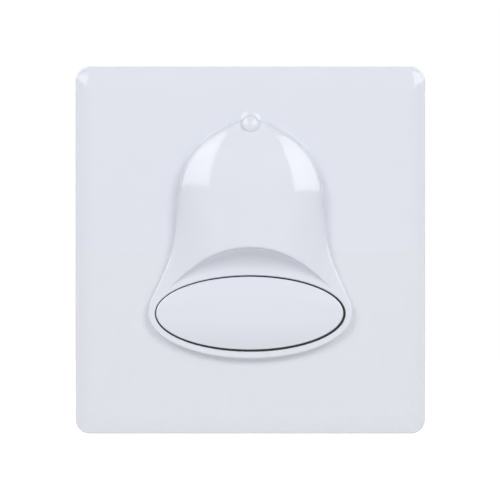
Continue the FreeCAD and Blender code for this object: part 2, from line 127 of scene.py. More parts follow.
def clamped_spline(points, first, last, per_span=400):
    """Dense samples of a smooth curve through the points, with set directions at both ends."""
    points = np.array(points, float)
    count = len(points)
    step = np.linalg.norm(np.diff(points, axis=0), axis=1)
    matrix = np.zeros((count, count))
    right = np.zeros((count, 2))
    matrix[0, 0] = matrix[-1, -1] = 1
    right[0], right[-1] = first, last
    for i in range(1, count - 1):
        before, after = step[i - 1], step[i]
        matrix[i, i - 1:i + 2] = after, 2 * (before + after), before
        right[i] = 3 * (after * (points[i] - points[i - 1]) / before
                        + before * (points[i + 1] - points[i]) / after)
    slope = np.linalg.solve(matrix, right)
    share = np.linspace(0, 1, per_span, endpoint=False)[:, None]
    spans = []
    for i in range(count - 1):
        start, end = points[i], points[i + 1]
        spans.append((1 + 2 * share) * (1 - share) ** 2 * start + share * (1 - share) ** 2 * step[i] * slope[i]
                     + share ** 2 * (3 - 2 * share) * end + share ** 2 * (share - 1) * step[i] * slope[i + 1])
    return np.vstack(spans + [points[-1:]])


outline = clamped_spline([(0, bell_apex)] + bell_stations + [(lip_half_width, mouth_z)], (1, 0), (0, -1))


def bell_half_width_squared(z):
    """The bell's half width at a height, squared: the spline above the mouth's middle, the lip's oval below."""
    upper = np.interp(z, outline[::-1, 1], outline[::-1, 0] ** 2, right=0)
    lower = lip_half_width ** 2 * (1 - ((z - mouth_z) / lip_half_height) ** 2)
    return np.clip(np.where(z > mouth_z, upper, lower), 0, None)


def smooth_min(a, b, blend):
    """The smaller of two values, with the corner between them rounded over a blend."""
    return np.minimum(a, b) - np.clip(blend - np.abs(a - b), 0, None) ** 2 / (4 * blend)


def edge_distance(x, z):
    """How far inside the bell's outline a point is, measured square to it. Only exact near the outline."""
    step = 0.02
    inside = bell_half_width_squared(z) - x ** 2
    slope = (bell_half_width_squared(z + step) - bell_half_width_squared(z - step)) / (2 * step)
    return np.clip(inside, 0, None) / np.sqrt(4 * x ** 2 + slope ** 2 + 1e-6)


def dome_height(x, z):
    """How far the bell's front stands out: a round body that flares out below, on a flat skirt."""
    inset = np.clip(brim_edge_radius - edge_distance(x, z), 0, brim_edge_radius)
    skirt = rim_height - brim_edge_radius + np.sqrt(brim_edge_radius ** 2 - inset ** 2)
    outer = np.sqrt(bell_half_width_squared(z))
    body = smooth_min(outer, body_half_width, body_blend)
    foot = np.maximum(smooth_min(outer, brim_start, body_blend), 0.01)
    down = np.clip((flare_top - z) / flare_length, 0, 1)
    power = 0.5 + down * down * (3 - 2 * down)
    rise = body_depth * body / body_half_width * np.clip(1 - (x / foot) ** 2, 0, 1) ** power
    return skirt + np.where(z > mouth_z, rise, 0)


def scoop_height(x, z):
    """How far the rim stands out, and the hollow that rises above it in a round sweep, narrowing forwards."""
    def outside(turn):
        share = np.sin(turn)
        half_width = rim_half_width + (scoop_half_width - rim_half_width) * share
        half_height = rim_half_height + (crest_half_height - rim_half_height) * share
        return (x / half_width) ** 2 + ((z - mouth_z) / half_height) ** 2 > 1

    low, high = np.zeros_like(x), np.full_like(x, math.pi / 2)
    for _ in range(halvings):
        middle = (low + high) / 2
        beyond = outside(middle)
        low = np.where(beyond, middle, low)
        high = np.where(beyond, high, middle)
    turn = np.where(outside(np.zeros_like(x)), high, 0)
    return rim_height + scoop_rise * (1 - np.cos(turn)) ** scoop_sweep


print("outline samples:", len(outline), "crest height:", round(float(dome_height(0.0, 0.0)), 2), "mm")

# %% [markdown]
# ## One skin for the cover
# The cover is a single moulding, so its mesh should be a single skin with no seams.
# Sculpting or booleans could give the shape, but they leave uneven triangles that dimple in the reflections.
# Here the skin is a set of closed loops with the same number of points, laid one outside the other:
# mouth, rim, hollow, crest, bell, foot, plate, side wall, and back round the inside to the mouth.
# The loops share columns, and each pair of loops is joined by a ring of quads.

# %% Loops that share their columns
TOP_COLUMNS = 240
LIP_COLUMNS = 160
COLUMNS = TOP_COLUMNS + LIP_COLUMNS


def spread(points, count):
    """Points at even spacing along a line of points, without the last one."""
    length = np.concatenate([[0], np.cumsum(np.linalg.norm(np.diff(points, axis=0), axis=1))])
    at = np.linspace(0, length[-1], count, endpoint=False)
    return np.stack([np.interp(at, length, points[:, k]) for k in range(2)], axis=1)


def arc(half_width, half_height, start, end, count=4001):
    turn = np.radians(np.linspace(start, end, count))
    return np.stack([half_width * np.cos(turn), mouth_z + half_height * np.sin(turn)], axis=1)


def oval_loop(half_width, half_height):
    """An oval round the mouth's middle, from its right end over the top and back below."""
    top = spread(arc(half_width, half_height, 0, 180), TOP_COLUMNS)
    lip = spread(arc(half_width, half_height, 180, 360), LIP_COLUMNS)
    return np.vstack([top, lip])


def bell_loop():
    """The bell's outline from the mouth's right end over the crown, closed by the lip's oval."""
    right = outline[::-1]
    left = outline[1:] * np.array([-1, 1])
    top = spread(np.vstack([right, left]), TOP_COLUMNS)
    lip = spread(arc(lip_half_width, lip_half_height, 180, 360), LIP_COLUMNS)
    return np.vstack([top, lip])


def crest_loop():
    """Where the bell's front meets the hollow, found by halving, and where the lip falls off the rim."""
    x = rim_half_width * np.cos(np.radians(np.linspace(0, 180, 4001)))
    rise = np.sqrt(np.clip(1 - (x / rim_half_width) ** 2, 0, 1))
    low, high = mouth_z + rim_half_height * rise, mouth_z + crest_half_height * rise
    for _ in range(halvings):
        middle = (low + high) / 2
        above = scoop_height(x, middle) > dome_height(x, middle) + 0.001
        high = np.where(above, middle, high)
        low = np.where(above, low, middle)
    top = spread(np.stack([x, low], axis=1), TOP_COLUMNS)
    lip = spread(arc(rim_half_width, rim_half_height, 180, 360), LIP_COLUMNS)
    return np.vstack([top, lip])


SIDE_TOP, CORNER, TOP_EDGE = 50, 14, 112
SIDE_LOW, LOW_EDGE = 20, 92


def plate_loop(inset, radius):
    """The plate's rounded outline moved inwards, with its columns dealt out to sides and corners."""
    x, z = plate_half_width - inset, plate_half_height - inset
    runs = []

    def side(a, b, count):
        share = np.linspace(0, 1, count, endpoint=False)[:, None]
        runs.append(np.array(a) * (1 - share) + np.array(b) * share)

    def corner(cx, cz, start):
        turn = np.radians(start + 90 * np.linspace(0, 1, CORNER, endpoint=False))
        runs.append(np.stack([cx + radius * np.cos(turn), cz + radius * np.sin(turn)], axis=1))

    side((x, mouth_z), (x, z - radius), SIDE_TOP)
    corner(x - radius, z - radius, 0)
    side((x - radius, z), (radius - x, z), TOP_EDGE)
    corner(radius - x, z - radius, 90)
    side((-x, z - radius), (-x, mouth_z), SIDE_TOP)
    side((-x, mouth_z), (-x, radius - z), SIDE_LOW)
    corner(radius - x, radius - z, 180)
    side((radius - x, -z), (x - radius, -z), LOW_EDGE)
    corner(x - radius, radius - z, 270)
    side((x, radius - z), (x, mouth_z), SIDE_LOW)
    return np.vstack(runs)


def at_depth(loop, y):
    """A loop in plan, set at a depth."""
    return np.stack([loop[:, 0], np.broadcast_to(y, len(loop)), loop[:, 1]], axis=1)


def even_rows(dense, start, end, count, ends=True):
    """Rows at even spacing down every column of a dense stack of rows, from one length to another."""
    length = np.concatenate([np.zeros((1, dense.shape[1])),
                             np.cumsum(np.linalg.norm(np.diff(dense, axis=0), axis=2), axis=0)])
    share = np.linspace(0, 1, count, endpoint=ends)[:, None]
    at = start + (length[-1] - end - start) * share
    rows = np.empty((count, dense.shape[1], 3))
    for column in range(dense.shape[1]):
        for axis in range(3):
            rows[:, column, axis] = np.interp(at[:, column], length[:, column], dense[:, column, axis])
    return rows


def turned(start, end, count):
    """Angles in radians from one to another, both included."""
    return np.radians(np.linspace(start, end, count))


print("columns:", COLUMNS, "on the plate:", len(plate_loop(0, plate_corner_radius)))

# %% [markdown]
# ## The front of the cover
# The rim is flat, and above it the hollow climbs in a round sweep to a soft crest.
# The crest is where two surfaces meet, so it is rounded here as a moulder would:
# the last stretch of each surface is cut back and bridged by a curve that leans on both.
# On the lip the same curve makes the small round at the rim's outer edge.
# Towards its border the plate falls off in a soft roll, further at its two sides than at top and bottom.

# %% Rows from the mouth to the side wall


def front_rows():
    mouth = oval_loop(mouth_half_width, mouth_half_height)
    edge = oval_loop(mouth_half_width + rim_edge_radius, mouth_half_height + rim_edge_radius)
    crest, bell = crest_loop(), bell_loop()
    rim_front = plate_front - rim_height
    rows = [at_depth(mouth, y) for y in np.linspace(rim_front + rim_thickness, rim_front + rim_edge_radius, 4)]
    for turn in turned(0, 90, 6)[1:-1]:
        grow = rim_edge_radius * (1 - math.cos(turn))
        loop = oval_loop(mouth_half_width + grow, mouth_half_height + grow)
        rows.append(at_depth(loop, rim_front + rim_edge_radius * (1 - math.sin(turn))))

    share = np.sin(np.linspace(0, math.pi / 2, 300))[:, None, None]

    def standing(start, end, height):
        plan = start * (1 - share) + end * share
        x, z = plan[..., 0], plan[..., 1]
        return np.stack([x, plate_front - height(x, z), z], axis=2)

    hollow = standing(edge, crest, lambda x, z: np.minimum(scoop_height(x, z), dome_height(x, z)))
    dome = standing(crest, bell, dome_height)

    crest_stand = plate_front - rim_height - hollow[-1, :, 1]
    trim = lip_round + (crest_round - lip_round) * np.clip(crest_stand / 2, 0, 1)
    inner = even_rows(hollow, 0, trim, 30)
    outer = even_rows(dome, trim, 0, 46)
    rows += list(inner)
    for t in np.linspace(0, 1, 8)[1:-1]:
        rows.append((1 - t) ** 2 * inner[-1] + 2 * t * (1 - t) * hollow[-1] + t ** 2 * outer[0])
    rows += list(outer)

    ahead = np.roll(bell, -1, axis=0) - np.roll(bell, 1, axis=0)
    outwards = np.stack([ahead[:, 1], -ahead[:, 0]], axis=1)
    outwards /= np.linalg.norm(outwards, axis=1)[:, None]
    for turn in turned(0, 90, 6):
        grow = bell_foot_radius * (1 - math.cos(turn))
        rows.append(at_depth(bell + outwards * grow, plate_front - bell_foot_radius * (1 - math.sin(turn))))
    foot = bell + outwards * bell_foot_radius
    flat = plate_loop(plate_roll_width, plate_corner_radius / 2)
    for share in np.linspace(0, 1, 10)[1:]:
        rows.append(at_depth(foot * (1 - share) + flat * share, plate_front))
    return rows


def roll_drops():
    """How far the border falls off in each column: further at the two sides than at top and bottom."""
    x = np.abs(plate_loop(0, plate_corner_radius)[:, 0])
    side = np.clip((x - plate_half_width + plate_corner_radius) / plate_corner_radius, 0, 1)
    return plate_roll_drop + (plate_side_drop - plate_roll_drop) * side ** 2 * (3 - 2 * side)


def side_rows():
    """The soft roll at the border, the small round at the edge, and the side wall down to the wall."""
    drops = roll_drops()
    shoulder = plate_front + drops
    steps = []
    for share in np.linspace(0, 1, 9)[1:]:
        inset = plate_roll_width - share * (plate_roll_width - plate_edge_radius)
        steps.append((inset, plate_front + drops * share ** 2))
    for turn in turned(90, 0, 7)[1:]:
        inset = plate_edge_radius * (1 - math.cos(turn))
        steps.append((inset, shoulder + plate_edge_radius * (1 - math.sin(turn))))
    start, end = shoulder + plate_edge_radius, -back_edge_radius
    steps += [(0, y) for y in np.linspace(start, end, 5)[1:]]
    rows = []
    for inset, y in steps:
        radius = plate_corner_radius * (1 - inset / (2 * plate_roll_width))
        rows.append(at_depth(plate_loop(inset, radius), y))
    for turn in turned(0, 90, 4)[1:]:
        inset = back_edge_radius * (1 - math.cos(turn))
        loop = plate_loop(inset, plate_corner_radius - inset)
        rows.append(at_depth(loop, end + back_edge_radius * math.sin(turn)))
    return rows


outer_rows = front_rows() + side_rows()
print("rows from the mouth to the wall:", len(outer_rows))

# %% [markdown]
# ## The back of the cover
# A moulding has an even wall, so the inside follows the outside at one wall's distance:
# under the plate, up into the bell, and round the guide that the button slides in.

# %% Rows round the inside
pocket_grow = 1.25
guide_wall = 1.2
guide_back = rim_back + 4.2
room_inset = 0.3
room_margin = 0.6


def room_depth(x, z):
    """The depth of the hollow inside the bell at a point, or the plate's underside beside it."""
    scale = (lip_half_width - bell_wall) / lip_half_width
    inside = np.abs(x) < scale * np.sqrt(bell_half_width_squared(z)) - room_inset
    dome = plate_front - dome_height(x / scale, z) * scale + room_margin
    hollow = plate_front - scoop_height(x, z - bell_wall) + bell_wall
    underside = plate_front + plate_wall
    return np.where(inside, np.minimum(np.maximum(dome, hollow), underside), underside)


def back_rows():
    underside = plate_front + plate_wall
    inner_radius = plate_corner_radius - plate_wall
    wall = plate_loop(plate_wall, inner_radius)
    rows = [at_depth(plate_loop(plate_wall - back_edge_radius, inner_radius), 0.0)]
    rows += [at_depth(wall, y) for y in (-back_edge_radius, underside / 2, underside)]
    half_width, half_height = mouth_half_width + pocket_grow, mouth_half_height + pocket_grow
    guide = oval_loop(half_width + guide_wall, half_height + guide_wall)
    for share in np.linspace(0, 1, 26)[1:]:
        plan = wall * (1 - share) + guide * share
        rows.append(at_depth(plan, room_depth(plan[:, 0], plan[:, 1])))
    pocket = oval_loop(half_width, half_height)
    rows += [at_depth(guide, guide_back), at_depth(pocket, guide_back)]
    rows.append(at_depth(pocket, rim_back))
    return rows


inner_rows = back_rows()
print("rows round the inside:", len(inner_rows))

# %% [markdown]
# ## From rows to a mesh
# A few helpers turn rows of points into closed meshes: a stack of loops, a turned form and a prism.
# Normals are then pointed outwards once, and smooth shading stops only at true edges.

# %% Mesh helpers
collection = bpy.context.scene.collection


def placed(name, data):
    """A mesh, lamp or camera as an object in the scene."""
    obj = bpy.data.objects.new(name, data)
    collection.objects.link(obj)
    return obj


def new_object(name, vertices, faces):
    mesh = bpy.data.meshes.new(name)
    mesh.from_pydata([tuple(v) for v in vertices], [], faces)
    mesh.update()
    return placed(name, mesh)


def from_work(name, work):
    """An object from an edited mesh, which is freed."""
    mesh = bpy.data.meshes.new(name)
    work.to_mesh(mesh)
    work.free()
    return placed(name, mesh)


def ring_faces(rows, columns, closed):
    """Quads between neighbouring rows of a stack, and between the last and the first if it is closed."""
    faces = []
    for row in range(rows if closed else rows - 1):
        here, there = row * columns, (row + 1) % rows * columns
        for column in range(columns):
            ahead = (column + 1) % columns
            faces.append((here + column, here + ahead, there + ahead, there + column))
    return faces


def point_outwards(obj):
    work = bmesh.new()
    work.from_mesh(obj.data)
    bmesh.ops.recalc_face_normals(work, faces=work.faces)
    if work.calc_volume(signed=True) < 0:
        bmesh.ops.reverse_faces(work, faces=work.faces)
    loose = [edge for edge in work.edges if len(edge.link_faces) != 2]
    work.to_mesh(obj.data)
    volume = work.calc_volume()
    work.free()
    return len(loose), volume


def smooth(obj, sharp_degrees=35):
    obj.data.shade_smooth()
    obj.data.set_sharp_from_angle(angle=math.radians(sharp_degrees))


def joined(name, parts):
    """One mesh object from several, with the parts removed."""
    work = bmesh.new()
    for part in parts:
        work.from_mesh(part.data)
        mesh = part.data
        bpy.data.objects.remove(part)
        bpy.data.meshes.remove(mesh)
    return from_work(name, work)


def lathe(name, profile, centre, columns=64):
    """A closed form turned about a line along Y: the profile is (radius, y) from pole to pole."""
    turn = np.linspace(0, 2 * math.pi, columns, endpoint=False)
    vertices = [(centre[0], profile[0][1], centre[1])]
    for radius, y in profile[1:-1]:
        for a in turn:
            vertices.append((centre[0] + radius * math.cos(a), y, centre[1] + radius * math.sin(a)))
    vertices.append((centre[0], profile[-1][1], centre[1]))
    rows = len(profile) - 2
    faces = [tuple(1 + c for c in face) for face in ring_faces(rows, columns, False)]
    last = len(vertices) - 1
    for column in range(columns):
        ahead = (column + 1) % columns
        faces.append((0, 1 + ahead, 1 + column))
        faces.append((last, last - columns + column, last - columns + ahead))
    return new_object(name, np.array(vertices) * MM, faces)


def prism(name, outline_points, z0, z1):
    """A closed prism along Z with an outline in x and y."""
    count = len(outline_points)
    vertices = [(x, y, z) for z in (z0, z1) for x, y in outline_points]
    faces = ring_faces(2, count, False) + [tuple(range(count)), tuple(range(2 * count - 1, count - 1, -1))]
    return new_object(name, np.array(vertices) * MM, faces)


print("quads between two rows:", len(ring_faces(2, COLUMNS, False)))

# %% [markdown]
# ## The cover's skin
# The stack of loops closes on itself, from the last row back to the first, so the skin has no border.
# A closed skin has no open edge and a true volume, so both are measured.

# %% Cover skin
cover_rows = outer_rows + inner_rows
skin = new_object("cover_skin", np.vstack(cover_rows) * MM, ring_faces(len(cover_rows), COLUMNS, True))
open_edges, skin_volume = point_outwards(skin)
print("cover skin: rows", len(cover_rows), "faces", len(skin.data.polygons), "open edges", open_edges,
      "volume cm3", round(skin_volume * 1e6, 2))

# %% [markdown]
# ## Ball, ribs and snap noses
# The ball on the crown is half a sphere on a round stem, with a low rise round it where the crown runs out.
# Each is turned from one profile, from pole to pole.
# Inside, two ribs stiffen the plate and four noses click into the steel frame.
# They are closed forms that reach into the wall, which is simpler than cutting them into the skin.

# %% Ball, ribs and noses
ball_radius = 2.25
ball_height = 28.75
ball_stand_off = 4.0
neck_height = 30.0
neck_radius = 2.5
neck_stand_off = 2.2
rib_offset = 25.0
rib_thickness = 1.2
rib_height = 1.6
snap_spread = 18.0
snap_width = 6.0
snap_depth = 3.6
snap_height = 1.4
snap_tip = 35.7
snap_flange = 36.8
root_depth = 0.8
root_bite = 0.5


def crown_ball():
    profile = [(0, plate_front - ball_stand_off - ball_radius)]
    for turn in turned(90, 0, 20)[1:]:
        profile.append((ball_radius * math.cos(turn),
                        plate_front - ball_stand_off - ball_radius * math.sin(turn)))
    root = plate_front + root_depth
    profile += [(ball_radius, y) for y in np.linspace(plate_front - ball_stand_off, root, 6)[1:]]
    profile.append((0, root))
    return lathe("ball", profile, (0, ball_height))


def crown_neck():
    """The low round rise that shows above the ball, where the crown runs out into the plate."""
    profile = [(neck_radius * share, plate_front - neck_stand_off * math.cos(share * math.pi / 2) ** 2)
               for share in np.linspace(0, 1, 16)]
    profile += [(neck_radius, plate_front + root_depth), (0, plate_front + root_depth)]
    return lathe("neck", profile, (0, neck_height))


def inside_forms():
    underside = plate_front + plate_wall
    reach = plate_half_height - plate_wall / 2
    forms = []
    for side in (-1, 1):
        x0, x1 = side * rib_offset - rib_thickness / 2, side * rib_offset + rib_thickness / 2
        y0, y1 = underside - root_bite, underside + rib_height
        forms.append(prism("rib", [(x0, y0), (x1, y0), (x1, y1), (x0, y1)], -reach, reach))
        root = side * (plate_half_width - plate_wall / 2)
        front, back = -snap_depth - snap_height / 2, -snap_depth + snap_height / 2
        nose = [(root, front - snap_height / 2), (side * snap_flange, front), (side * snap_tip, front),
                (side * snap_tip, back - snap_height / 3), (side * snap_flange, back), (root, back)]
        for height in (-snap_spread, snap_spread):
            forms.append(prism("nose", nose, height - snap_width / 2, height + snap_width / 2))
    return forms


cover_extras = [crown_ball(), crown_neck()] + inside_forms()
for extra in cover_extras:
    point_outwards(extra)
cover = joined("cover_shell", [skin] + cover_extras)
smooth(cover)
print("cover faces:", len(cover.data.polygons))

# %% [markdown]
# ## The push button
# The button is a shallow dome with a small even round at its edge, so light catches it as one thin line.
# A flattened sphere would squeeze that round at the top and bottom of the oval.
# So the button too is a stack of ovals, each moved inwards by the same distance all the way round.
# Behind, it has a skirt, a lip that stops it, a hollow, a spar and the post that pushes the plunger.

# %% Button
button_gap = 0.4
button_half_width = mouth_half_width - button_gap
button_half_height = mouth_half_height - button_gap
button_shift = (-0.15, 0.1)
button_crown = 2.0
button_proud = 0.5
button_edge_radius = 0.45
button_wall = 1.6
button_lip = (rim_back + 0.1, rim_back + 1.3)
button_lip_width = 0.9
button_columns = 256
post_radius = 3.0
post_back = -4.8
post_chamfer = 0.2
spar_depth = 1.4
spar_half_height = 0.6


def button_oval(inset):
    """The button's oval moved inwards by a distance along its own normal."""
    turn = np.linspace(0, 2 * math.pi, button_columns, endpoint=False)
    x, z = button_half_width * np.cos(turn), button_half_height * np.sin(turn)
    normal = np.stack([x / button_half_width ** 2, z / button_half_height ** 2], axis=1)
    normal /= np.linalg.norm(normal, axis=1)[:, None]
    loop = np.stack([x, z], axis=1) - normal * inset
    return loop + np.array([0, mouth_z])


def shrunk(loop, share):
    return (loop - np.array([0, mouth_z])) * share + np.array([0, mouth_z])


def button_skin():
    face_edge = plate_front - rim_height - button_proud
    ceiling = face_edge - button_crown + button_wall + button_crown / 2
    rows = []
    flat = button_oval(button_edge_radius)
    for share in np.sqrt(np.linspace(0.0006, 1, 40)):
        rows.append(at_depth(shrunk(flat, share), face_edge - button_crown * (1 - share ** 2)))
    for turn in turned(90, 0, 8)[1:]:
        rows.append(at_depth(button_oval(button_edge_radius * (1 - math.cos(turn))),
                             face_edge + button_edge_radius * (1 - math.sin(turn))))
    rows.append(at_depth(button_oval(0), button_lip[0]))
    for y in button_lip:
        rows.append(at_depth(button_oval(-button_gap - button_lip_width), y))
    rows += [at_depth(button_oval(button_wall), y) for y in (button_lip[1], ceiling)]
    rows.append(at_depth(shrunk(button_oval(button_wall), 0.02), ceiling))
    vertices = np.vstack(rows)
    vertices = np.vstack([vertices, [[0, face_edge - button_crown, mouth_z], [0, ceiling, mouth_z]]])
    faces = ring_faces(len(rows), button_columns, False)
    front, back, last = len(vertices) - 2, len(vertices) - 1, (len(rows) - 1) * button_columns
    for column in range(button_columns):
        ahead = (column + 1) % button_columns
        faces.append((front, ahead, column))
        faces.append((back, last + column, last + ahead))
    return new_object("button_skin", vertices * MM, faces), ceiling


button_part, button_ceiling = button_skin()
spar_reach = button_half_width - button_wall / 2
root, spar_back = button_ceiling - root_bite, button_ceiling + spar_depth
spar = prism("spar", [(-spar_reach, root), (spar_reach, root),
                      (spar_reach, spar_back), (-spar_reach, spar_back)],
             mouth_z - spar_half_height, mouth_z + spar_half_height)
post = lathe("post", [(0, root), (post_radius, root), (post_radius, post_back - post_chamfer),
                      (post_radius - post_chamfer, post_back), (0, post_back)], (0, mouth_z), 48)
for part in (button_part, spar, post):
    print(part.name, "open edges and volume:", point_outwards(part))
button = joined("button_cap", [button_part, spar, post])
button.data.transform(Matrix.Translation(Vector((button_shift[0], 0, button_shift[1])) * MM))
smooth(button)
print("button faces:", len(button.data.polygons))

# %% [markdown]
# ## Inner pieces that keep their model shape
# The frame, the case and its lid come from the model with knife-sharp edges.
# A pressed or moulded edge is never that sharp, and a small bevel is what makes it look real.
# The model's own mesh is left alone: a copy is merged, its flat faces are joined, and it is bevelled.

# %% Soft edges on copies


def apply_modifiers(obj):
    """The object's mesh as its modifiers show it, with the modifiers removed."""
    depsgraph = bpy.context.evaluated_depsgraph_get()
    mesh = bpy.data.meshes.new_from_object(obj.evaluated_get(depsgraph))
    old = obj.data
    obj.modifiers.clear()
    obj.data = mesh
    bpy.data.meshes.remove(old)
    return obj


def softened(node, name, width):
    """A copy of a model node with merged corners, joined flat faces and small bevels."""
    work = bmesh.new()
    work.from_mesh(nodes[node].data)
    bmesh.ops.remove_doubles(work, verts=work.verts, dist=0.002 * MM)
    bmesh.ops.dissolve_limit(work, angle_limit=math.radians(0.5), verts=work.verts, edges=work.edges)
    obj = from_work(name, work)
    bevel = obj.modifiers.new("edges", "BEVEL")
    bevel.width = width * MM
    bevel.segments = 2
    bevel.limit_method = "ANGLE"
    bevel.angle_limit = math.radians(40)
    bevel.use_clamp_overlap = True
    apply_modifiers(obj)
    smooth(obj, 40)
    print(name, "faces", len(obj.data.polygons))
    return obj


frame_plate = softened("mounting_frame", "frame_plate", 0.15)
case_shell = softened("mechanism_case", "case_shell", 0.2)
lid_plate = softened("mechanism_lid", "lid_plate", 0.15)

# %% [markdown]
# ## The return spring
# A spring is a wire that follows a helix. It could be spun point by point,
# but a rule with a few numbers is better: it can be changed and used again.
# A geometry node tree draws a spiral, sweeps a small round section along it,
# turns it to its axis and sets its material.

# %% A node tree that winds a wire


def add_node(tree, kind, inputs=(), **settings):
    node = tree.nodes.new(kind)
    for key in inputs:
        node.inputs[key].default_value = inputs[key]
    for key, value in settings.items():
        setattr(node, key, value)
    return node


def winding_tree():
    tree = bpy.data.node_groups.new("winding", "GeometryNodeTree")
    face = tree.interface
    face.new_socket("Geometry", in_out="OUTPUT", socket_type="NodeSocketGeometry")
    sizes = {}
    for kind, names in (("Float", ("Turns", "Radius", "Length", "Wire Radius")),
                        ("Int", ("Samples", "Wire Sides")), ("Vector", ("Start",)), ("Material", ("Finish",))):
        for name in names:
            sizes[name] = face.new_socket(name, in_out="INPUT", socket_type="NodeSocket" + kind).identifier

    given, out = add_node(tree, "NodeGroupInput"), add_node(tree, "NodeGroupOutput")
    section = add_node(tree, "GeometryNodeCurvePrimitiveCircle", mode="RADIUS")
    spiral, sweep, place, shade, single, finish = (
        add_node(tree, "GeometryNode" + kind)
        for kind in ("CurveSpiral", "CurveToMesh", "Transform", "SetShadeSmooth", "RealizeInstances",
                     "SetMaterial"))
    sweep.inputs["Fill Caps"].default_value = True
    place.inputs["Rotation"].default_value = (-math.pi / 2, 0, 0)
    for source, output, target, entry in (
            (given, "Samples", spiral, "Resolution"), (given, "Turns", spiral, "Rotations"),
            (given, "Radius", spiral, "Start Radius"), (given, "Radius", spiral, "End Radius"),
            (given, "Length", spiral, "Height"), (given, "Wire Sides", section, "Resolution"),
            (given, "Wire Radius", section, "Radius"), (spiral, "Curve", sweep, "Curve"),
            (section, "Curve", sweep, "Profile Curve"), (sweep, "Mesh", place, "Geometry"),
            (given, "Start", place, "Translation"), (place, "Geometry", shade, "Geometry"),
            (shade, "Geometry", single, "Geometry"), (single, "Geometry", finish, "Geometry"),
            (given, "Finish", finish, "Material"), (finish, "Geometry", out, "Geometry")):
        tree.links.new(source.outputs[output], target.inputs[entry])
    return tree, sizes


winding, winding_sizes = winding_tree()


def wound(name, finish, **sizes):
    """A wire wound by the tree, turned into a plain mesh."""
    obj = new_object(name, [(0, 0, 0)], [])
    modifier = obj.modifiers.new("winding", "NODES")
    modifier.node_group = winding
    for key, value in sizes.items():
        modifier[winding_sizes[key.replace("_", " ")]] = value
    modifier[winding_sizes["Finish"]] = finish
    apply_modifiers(obj)
    print(name, "faces", len(obj.data.polygons))
    return obj


# %% [markdown]
# ## Finishes
# Every finish is a small node material on object coordinates, so a pattern keeps its real size
# and stays with its piece when the piece moves.
# A picture texture could hold the same look, but it would blur close up.

# %% Material helpers


def new_material(name):
    material = bpy.data.materials.new(name)
    material.use_nodes = True
    tree = material.node_tree
    shader = tree.nodes["Principled BSDF"]
    place = add_node(tree, "ShaderNodeTexCoord")
    return material, tree, shader, place.outputs["Object"]


def noise(tree, place, size, detail=2.0):
    """Soft noise whose blobs measure about the given size in millimetres."""
    node = add_node(tree, "ShaderNodeTexNoise", {"Scale": 1 / (size * MM), "Detail": detail})
    tree.links.new(place, node.inputs["Vector"])
    return node.outputs["Fac"]


def between(tree, source, low, high):
    """The source's range of 0.3 to 0.7 stretched over low to high."""
    node = add_node(tree, "ShaderNodeMapRange",
                    {"From Min": 0.3, "From Max": 0.7, "To Min": low, "To Max": high})
    tree.links.new(source, node.inputs["Value"])
    return node.outputs["Result"]


def math_node(tree, operation, *values):
    node = add_node(tree, "ShaderNodeMath", operation=operation)
    for socket, value in zip(node.inputs, values):
        if isinstance(value, (int, float)):
            socket.default_value = value
        else:
            tree.links.new(value, socket)
    return node.outputs[0]


def mixed_colour(tree, share, first, second):
    """A colour between two. The first may also be another node's output."""
    node = add_node(tree, "ShaderNodeMix", data_type="RGBA")
    colour_a, colour_b = [s for s in node.inputs if s.type == "RGBA"]
    if isinstance(first, tuple):
        colour_a.default_value = (*first, 1)
    else:
        tree.links.new(first, colour_a)
    colour_b.default_value = (*second, 1)
    tree.links.new(share, node.inputs["Factor"])
    return [s for s in node.outputs if s.type == "RGBA"][0]


def bump(tree, shader, height, depth):
    """Relief from a height of 0 to 1, with a depth in millimetres."""
    node = add_node(tree, "ShaderNodeBump", {"Strength": 1, "Distance": depth * MM})
    tree.links.new(height, node.inputs["Height"])
    tree.links.new(node.outputs["Normal"], shader.inputs["Normal"])


def dress(tree, shader, colour, roughness, height, depth):
    """The shader's colour, roughness and relief, each from a node."""
    tree.links.new(colour, shader.inputs["Base Color"])
    tree.links.new(roughness, shader.inputs["Roughness"])
    bump(tree, shader, height, depth)


def linear(red, green, blue):
    """A screen colour of 0 to 255 in the linear values that shaders use."""
    values = [c / 255 for c in (red, green, blue)]
    return tuple(c / 12.92 if c <= 0.04045 else ((c + 0.055) / 1.055) ** 2.4 for c in values)


def give(obj, material):
    obj.data.materials.clear()
    obj.data.materials.append(material)


print("screen grey 128 in linear values:", round(linear(128, 128, 128)[0], 3))

# %% [markdown]
# ## Gloss white plastic
# The white is a cool one, and gloss plastic has a very slight unevenness, like orange peel.
# On the plate's lower half the mould was etched with a fine diagonal weave, which is duller and a touch warmer.
# The weave could be modelled, but it is far thinner than a hair, so it is bump:
# two crossing waves, kept to the flat of the plate below the middle.
# Little light comes back out of the narrow gap round the button, so shade is painted there: deep in the gap the
# plastic is coloured near black.

# %% White plastics
cool_white = linear(223, 226, 235), linear(225, 228, 237)
warm_white = linear(224, 226, 233)
gloss_roughness = (0.08, 0.1)
peel_size = 1.4
peel_share = 0.06
# Painted shade: a near black colour for the shade deep inside the gap round the button.
gap_painted_shade = (0.03, 0.03, 0.03)
gap_oval, gap_reach = 0.97, 0.09
gap_front, gap_back = plate_front - rim_height + 0.35, rim_back + 0.4
weave_top = 0.0
weave_pitch = 0.8
weave_depth = 0.012
weave_roughness = 0.12
weave_front = plate_front - 0.03
weave_back = plate_front + plate_side_drop + 0.1


